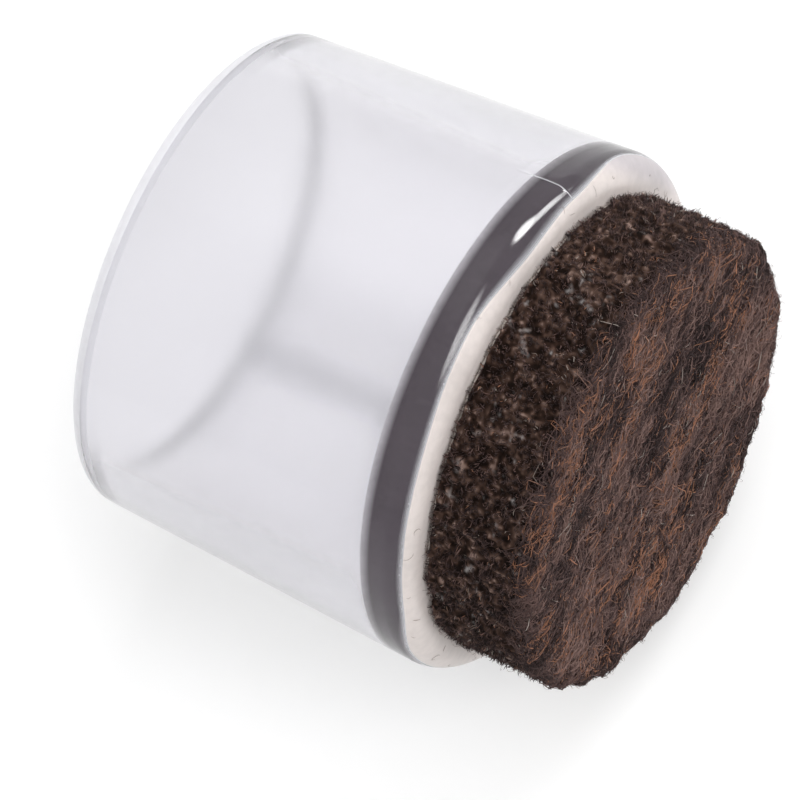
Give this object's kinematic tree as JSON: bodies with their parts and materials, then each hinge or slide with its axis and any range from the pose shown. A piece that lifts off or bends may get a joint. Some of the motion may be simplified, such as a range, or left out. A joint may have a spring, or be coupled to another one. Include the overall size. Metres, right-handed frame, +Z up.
{
  "type": "chair leg cap",
  "caption": "Clear slip-on cap for a round chair leg, with a steel washer on its socket floor and a thick felt pad under its foot.",
  "frame": {"origin": "centre of the felt's tread, on the floor that the cap stands on", "axes": "+Z up along the leg's axis, out of the socket's mouth; X and Y any way round, because the part is round"},
  "size_m": [0.024, 0.024, 0.0229],
  "materials": {
    "clear_plastic": "clear, polished, soft",
    "washer_steel": "dull stamped steel",
    "adhesive": "pale set glue",
    "felt": "needled felt"
  },
  "bodies": {
    "root": {"clear_cap": "clear_plastic", "steel_washer": "washer_steel", "adhesive_disc": "adhesive", "felt_pad": "felt"}
  },
  "joints": []
}
